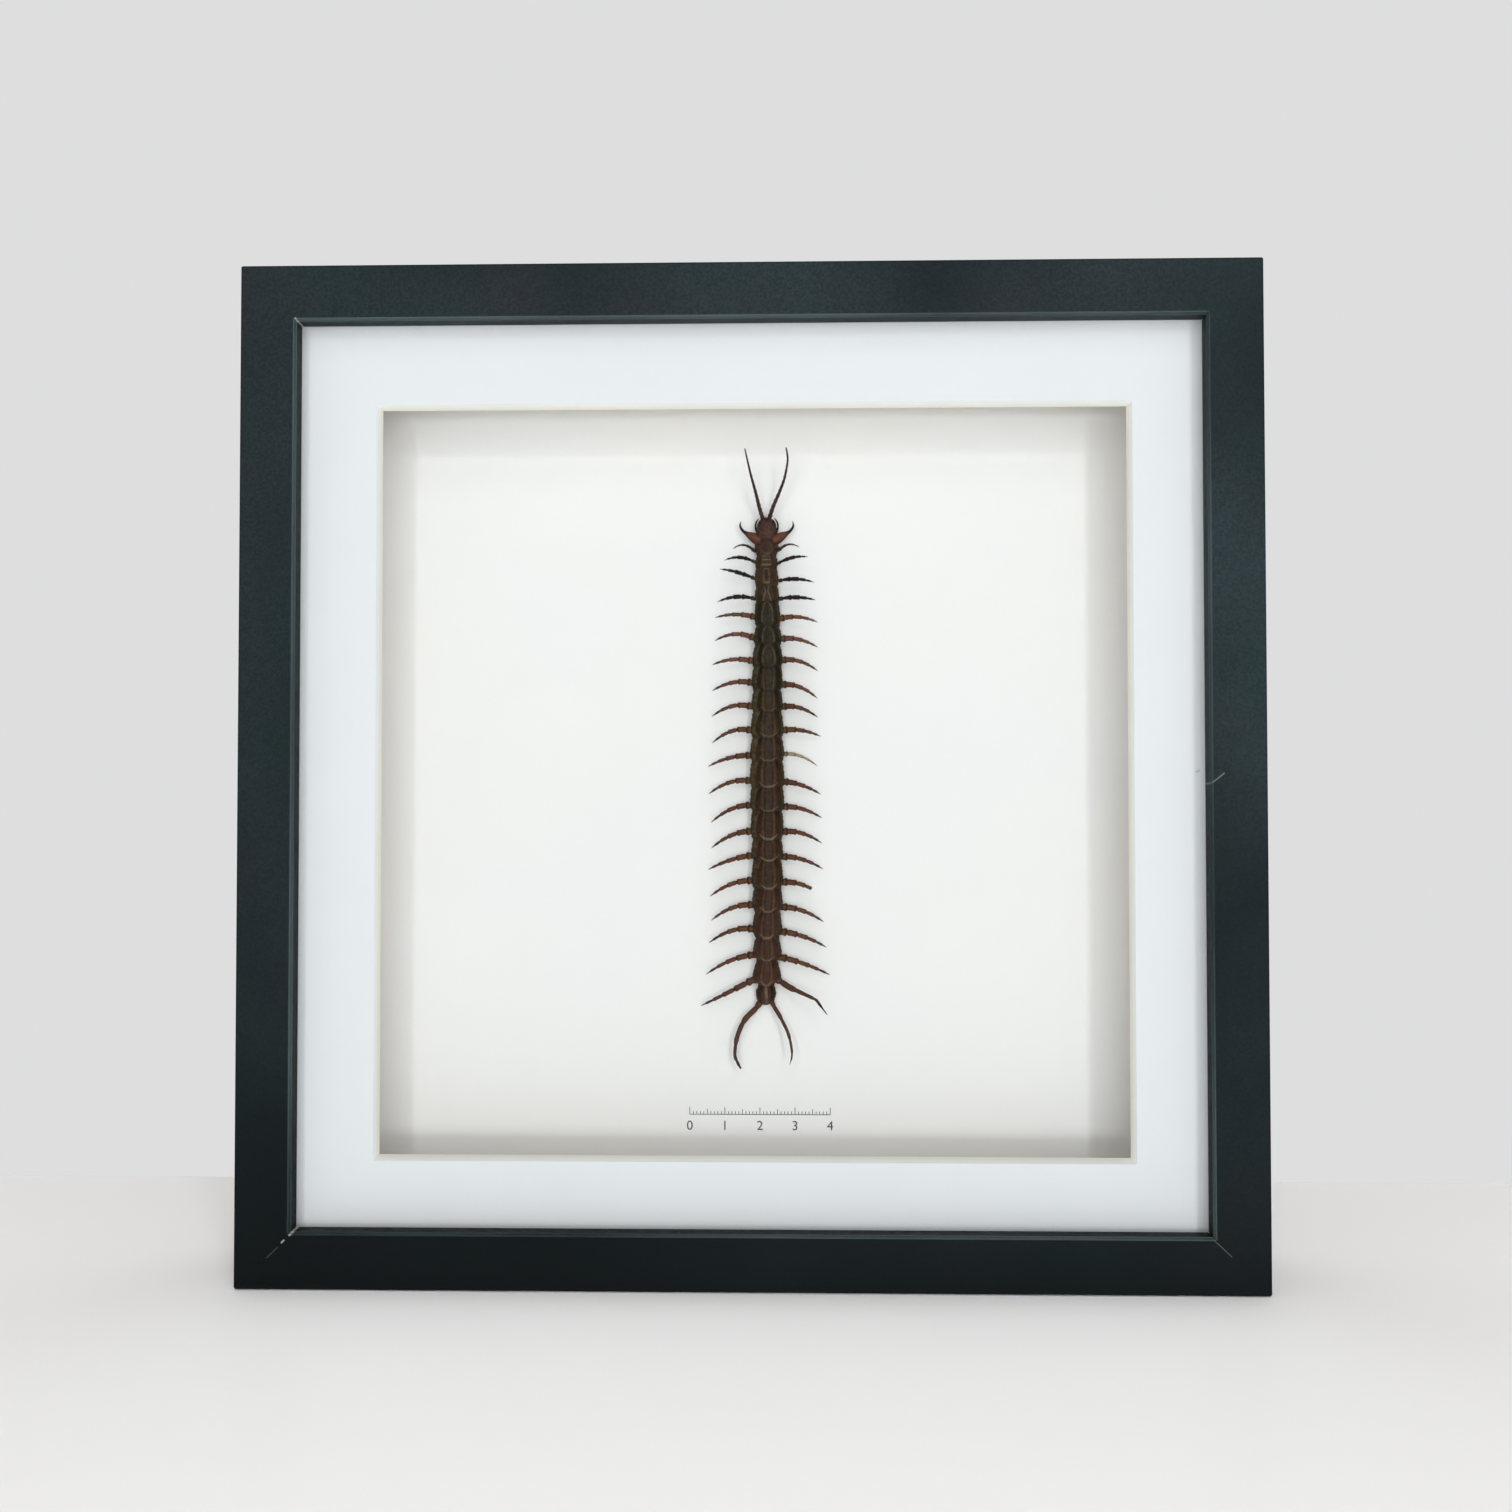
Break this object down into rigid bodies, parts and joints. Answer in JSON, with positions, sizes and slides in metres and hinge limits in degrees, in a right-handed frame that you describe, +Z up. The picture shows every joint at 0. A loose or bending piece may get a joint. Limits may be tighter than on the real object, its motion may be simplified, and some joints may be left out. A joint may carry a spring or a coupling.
{
  "type": "framed giant centipede",
  "caption": "Dried giant centipede on a white card in a small square box frame: black mitred rails, glass, white window mount, spacers, back board and sawtooth hanger",
  "frame": {"origin": "Under the middle of the frame, on the surface that the bottom rail stands on", "axes": "+Z is up and towards the specimen's head, +Y runs from the glass to the back, and +X is to the right of someone who looks at the specimen"},
  "size_m": [0.276, 0.038, 0.276],
  "materials": {
    "black_wood": "matt black stain with a fine grain",
    "clear_glass": "clear float glass, thin coated",
    "white_mount_board": "smooth matt white with a cream core in the bevel",
    "white_foam_board": "matt white foam board",
    "white_card": "matt white card",
    "brown_hardboard": "bare brown hardboard",
    "zinc_plated_steel": "zinc plated",
    "brown_chitin": null
  },
  "bodies": {
    "root": {"frame_rail_bottom": "black_wood", "frame_rail_left": "black_wood", "frame_rail_top": "black_wood", "frame_rail_right": "black_wood", "glass_pane": "clear_glass", "mount_board": "white_mount_board", "spacer_top": "white_foam_board", "spacer_bottom": "white_foam_board", "spacer_right": "white_foam_board", "spacer_left": "white_foam_board", "backing_card": "white_card", "back_board": "brown_hardboard", "retaining_tab_1": "zinc_plated_steel", "retaining_tab_2": "zinc_plated_steel", "retaining_tab_3": "zinc_plated_steel", "retaining_tab_4": "zinc_plated_steel", "retaining_tab_5": "zinc_plated_steel", "retaining_tab_6": "zinc_plated_steel", "retaining_tab_7": "zinc_plated_steel", "retaining_tab_8": "zinc_plated_steel", "hanger_plate": "zinc_plated_steel", "hanger_screw_left": "zinc_plated_steel", "hanger_screw_right": "zinc_plated_steel", "centipede": "brown_chitin"}
  },
  "joints": []
}
